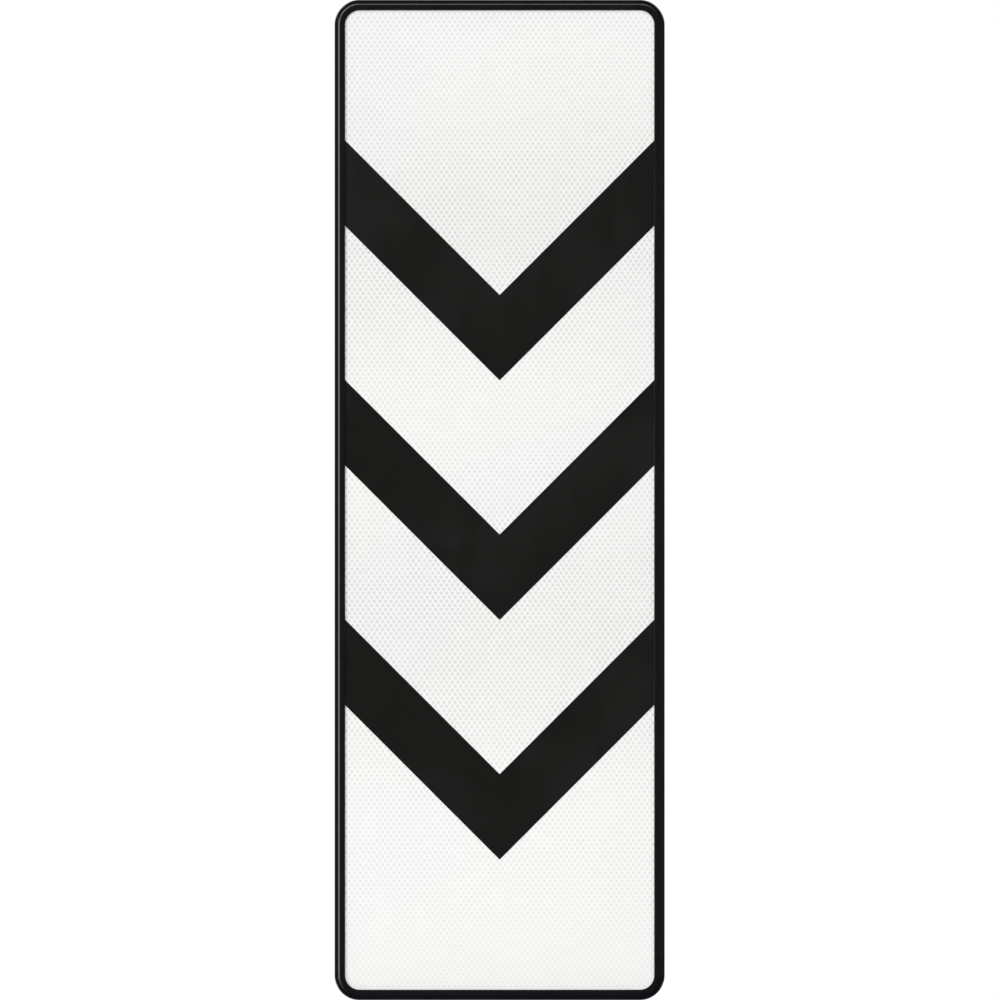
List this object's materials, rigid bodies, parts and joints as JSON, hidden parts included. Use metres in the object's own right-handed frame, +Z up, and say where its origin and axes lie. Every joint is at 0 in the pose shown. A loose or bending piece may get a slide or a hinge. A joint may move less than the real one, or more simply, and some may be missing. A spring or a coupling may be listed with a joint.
{
  "type": "chevron sign",
  "caption": "Tall framed road sign panel with black downward chevrons on white reflective sheeting, with slotted rear rails and clamps for a round post.",
  "frame": {"origin": "on the axis of the post that the clamps hold, level with the middle of the sign", "axes": "+Z up along the post, -Y the way the face looks, +X to the right seen from the front"},
  "size_m": [0.33, 0.0885, 1],
  "materials": {
    "plate": "satin",
    "reflective_film": "satin",
    "chevron_film": "satin",
    "edge_profile": "satin",
    "corner_moulding": "satin",
    "black_rivet": "satin",
    "rail": "satin",
    "rivet": "satin",
    "saddle": "matte",
    "bolt": "satin",
    "strap": "satin",
    "washer": "satin",
    "nut": "satin"
  },
  "bodies": {
    "panel": {"face_plate": "plate", "reflective_sheet": "reflective_film", "chevron_upper": "chevron_film", "chevron_middle": "chevron_film", "chevron_lower": "chevron_film", "left_edge_profile": "edge_profile", "right_edge_profile": "edge_profile", "top_edge_profile": "edge_profile", "bottom_edge_profile": "edge_profile", "corner_top_left": "corner_moulding", "corner_top_right": "corner_moulding", "corner_bottom_left": "corner_moulding", "corner_bottom_right": "corner_moulding", "corner_rivets": "black_rivet", "upper_rail": "rail", "lower_rail": "rail", "rail_rivets": "rivet"},
    "upper_clamp": {"upper_clamp_saddle": "saddle", "upper_clamp_bolts": "bolt"},
    "upper_strap": {"upper_clamp_strap": "strap", "upper_clamp_washers": "washer"},
    "upper_left_nut": {"upper_clamp_left_nut": "nut"},
    "upper_right_nut": {"upper_clamp_right_nut": "nut"},
    "lower_clamp": {"lower_clamp_saddle": "saddle", "lower_clamp_bolts": "bolt"},
    "lower_strap": {"lower_clamp_strap": "strap", "lower_clamp_washers": "washer"},
    "lower_left_nut": {"lower_clamp_left_nut": "nut"},
    "lower_right_nut": {"lower_clamp_right_nut": "nut"}
  },
  "joints": [
    {"name": "upper_clamp_slide", "type": "slide", "parent": "panel", "child": "upper_clamp", "axis": [1, 0, 0], "range_m": [-0.1, 0.1]},
    {"name": "upper_strap_open", "type": "slide", "parent": "upper_clamp", "child": "upper_strap", "axis": [0, 1, 0], "range_m": [0, 0.012]},
    {"name": "upper_left_nut_turn", "type": "hinge", "parent": "upper_strap", "child": "upper_left_nut", "pos_m": [-0.039, -0.01365, 0.3], "axis": [0, 1, 0], "range_deg": [0, 3460]},
    {"name": "upper_right_nut_turn", "type": "hinge", "parent": "upper_strap", "child": "upper_right_nut", "pos_m": [0.039, -0.01365, 0.3], "axis": [0, 1, 0], "range_deg": [0, 3460]},
    {"name": "lower_clamp_slide", "type": "slide", "parent": "panel", "child": "lower_clamp", "axis": [1, 0, 0], "range_m": [-0.1, 0.1]},
    {"name": "lower_strap_open", "type": "slide", "parent": "lower_clamp", "child": "lower_strap", "axis": [0, 1, 0], "range_m": [0, 0.012]},
    {"name": "lower_left_nut_turn", "type": "hinge", "parent": "lower_strap", "child": "lower_left_nut", "pos_m": [-0.039, -0.01365, -0.3], "axis": [0, 1, 0], "range_deg": [0, 3460]},
    {"name": "lower_right_nut_turn", "type": "hinge", "parent": "lower_strap", "child": "lower_right_nut", "pos_m": [0.039, -0.01365, -0.3], "axis": [0, 1, 0], "range_deg": [0, 3460]}
  ],
  "couplings": [
    {"joint": "upper_left_nut_turn", "follows": "upper_strap_open", "rad_per_m": 5026.5},
    {"joint": "upper_right_nut_turn", "follows": "upper_strap_open", "rad_per_m": 5026.5},
    {"joint": "lower_left_nut_turn", "follows": "lower_strap_open", "rad_per_m": 5026.5},
    {"joint": "lower_right_nut_turn", "follows": "lower_strap_open", "rad_per_m": 5026.5}
  ]
}
